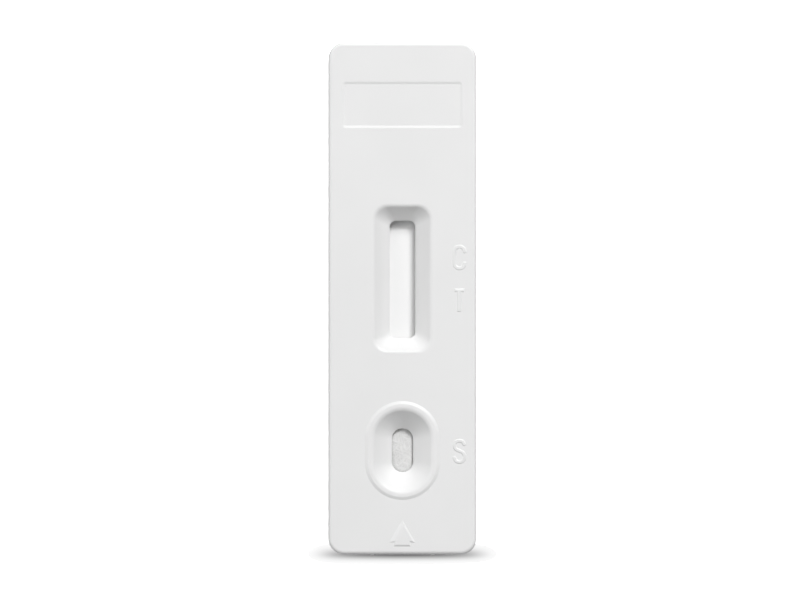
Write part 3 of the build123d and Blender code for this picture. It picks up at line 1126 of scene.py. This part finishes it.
def painted_contact_shade(tree):
    """Painted shadow: a lens of shade in the floor's colour at the near end, as deep as depth times
    e to the power of minus a sum.

    The sum is (x / reach)^2 + (x / end)^8 + (y / breadth)^1.9, where y is counted from the
    lens's middle, and the breadth is larger inwards, under the cassette, than outwards.
    """
    x, y, _ = node(tree, "ShaderNodeSeparateXYZ", {0: place_on_object(tree)}).outputs
    across = math_node(tree, "ABSOLUTE", x)
    inwards = math_node(tree, "SUBTRACT", y, SHADE_Y * MM)
    breadths = [
        math_node(tree, "DIVIDE", inwards, breadth * MM)
        for breadth in (SHADE_INWARDS, -SHADE_OUTWARDS)
    ]
    terms = [
        math_node(tree, "POWER", math_node(tree, "DIVIDE", across, SHADE_REACH * MM), REACH_POWER),
        math_node(tree, "POWER", math_node(tree, "DIVIDE", across, SHADE_END * MM), END_POWER),
        math_node(tree, "POWER", math_node(tree, "MAXIMUM", *breadths), BREADTH_POWER),
    ]
    total = math_node(tree, "MULTIPLY", chain(tree, "ADD", *terms), -1.0)
    return math_node(tree, "MULTIPLY", math_node(tree, "POWER", math.e, total), SHADE_DEPTH)


def mix_shaders(tree, factor, first, second):
    """One shader where the factor is 0 and another where it is 1."""
    return node(tree, "ShaderNodeMixShader", {0: factor, 1: first, 2: second}).outputs[0]


def floor():
    """A pale floor that the camera sees as white where it is lit, with the cassette's own shadow.

    In the lens of painted contact shadow the camera sees one less the shade, whatever the light.
    From behind the floor is clear, and the lamp below shines through it on the underside.
    """
    mesh = bpy.data.meshes.new("floor")
    corners = rectangle((0.0, 0.0), FLOOR_REACH, FLOOR_REACH)
    mesh.from_pydata(level(corners, -FLOOR_DROP).tolist(), [], [(0, 1, 2, 3)])
    material = bpy.data.materials.new("white_floor")
    material.use_nodes = True
    tree = material.node_tree
    tree.nodes.clear()
    mirrored, seen, shadow = ray_kinds(tree)
    grey = (BOUNCE_TONE, BOUNCE_TONE, BOUNCE_TONE, 1.0)
    plain = node(tree, "ShaderNodeBsdfDiffuse", {"Color": grey}).outputs[0]
    tone = mix_colors(tree, mirrored, [CAMERA_TONE] * 3, [MIRROR_TONE] * 3)
    bright = node(tree, "ShaderNodeBsdfDiffuse", {"Color": tone}).outputs[0]
    # Painted shadow: the lens of contact shade is drawn into the colour that the camera sees, not
    # cast by a lamp
    shade = painted_contact_shade(tree)
    rest = math_node(tree, "SUBTRACT", 1.0, shade)
    painted_shadow = node(tree, "ShaderNodeEmission", {"Strength": rest}).outputs[0]
    white = mix_shaders(tree, spread(tree, shade, SHADE_FROM, SHADE_FULL), bright, painted_shadow)
    back = node(tree, "ShaderNodeNewGeometry").outputs["Backfacing"]
    clear = node(tree, "ShaderNodeBsdfTransparent").outputs[0]
    shown = mix_shaders(tree, seen, plain, white)
    whole = mix_shaders(tree, math_node(tree, "MAXIMUM", back, shadow), shown, clear)
    node(tree, "ShaderNodeOutputMaterial", {"Surface": whole})
    mesh.materials.append(material)
    put_in_scene("floor", mesh)


def aim(name, lamp, azimuth, elevation):
    """Puts a lamp in the scene, turned to shine from an azimuth and a height."""
    made = put_in_scene(name, lamp)
    made.rotation_euler = (math.radians(elevation - 90.0), 0.0, -math.radians(azimuth))
    return made


def sun(name, azimuth, elevation, strength, breadth):
    """A distant soft lamp."""
    lamp = bpy.data.lights.new(name, "SUN")
    lamp.energy = strength * math.pi
    lamp.angle = math.radians(breadth)
    aim(name, lamp, azimuth, elevation)


def softbox(name, azimuth, elevation, strength, width, height, distance):
    """An oval lamp near enough for its light to fall off along the face.

    Its width and height are degrees and its distance metres. At the origin it is as strong as
    a sun: an irradiance of strength * pi takes strength * (pi * distance)^2 watts.
    """
    lamp = bpy.data.lights.new(name, "AREA")
    lamp.shape = "ELLIPSE"
    lamp.size = 2 * distance * math.tan(math.radians(width / 2))
    lamp.size_y = 2 * distance * math.tan(math.radians(height / 2))
    lamp.energy = strength * (math.pi * distance) ** 2
    made = aim(name, lamp, azimuth, elevation)
    turn, climb = math.radians(azimuth), math.radians(elevation)
    out, up = distance * math.cos(climb), distance * math.sin(climb)
    made.location = (out * math.sin(turn), out * math.cos(turn), up)
    made.visible_camera = False


def world():
    """Even light from all round, which the camera and the reflections see as white."""
    sky = bpy.data.worlds.new("room")
    bpy.context.scene.world = sky
    sky.use_nodes = True
    tree = sky.node_tree
    tree.nodes.clear()
    _, seen, _ = ray_kinds(tree)
    strength = spread(tree, seen, 0.0, 1.0, AMBIENT, 1.0)
    inputs = {"Color": (1.0, 1.0, 1.0, 1.0), "Strength": strength}
    back = node(tree, "ShaderNodeBackground", inputs).outputs[0]
    node(tree, "ShaderNodeOutputWorld", {"Surface": back})


def camera():
    """Straight above the face, as in the photograph, with a long lens."""
    data = bpy.data.cameras.new("camera")
    data.sensor_width = 36.0
    data.lens = data.sensor_width * (CAMERA_HEIGHT - FACE * MM) / FIELD
    data.clip_start, data.clip_end = 0.01, 10.0
    made = put_in_scene("camera", data)
    made.location = (CAMERA_X * MM, CAMERA_Y * MM, CAMERA_HEIGHT)
    bpy.context.scene.camera = made


materials = make_materials()
for shape, name, solid in (
    (cover, "cover_moulding", "top_cover"),
    (base, "base_moulding", "base_shell"),
):
    moulding = Surface()
    shape(moulding)
    moulding.piece(name, materials["housing"], "housing", solid)
strip(materials)

floor()
world()
softbox("key", 27.0, 42.0, strength=0.81, width=25.0, height=18.0, distance=1.1)
for lamp in SUNS:
    sun(*lamp)
camera()

bpy.context.scene.view_settings.view_transform = "Standard"
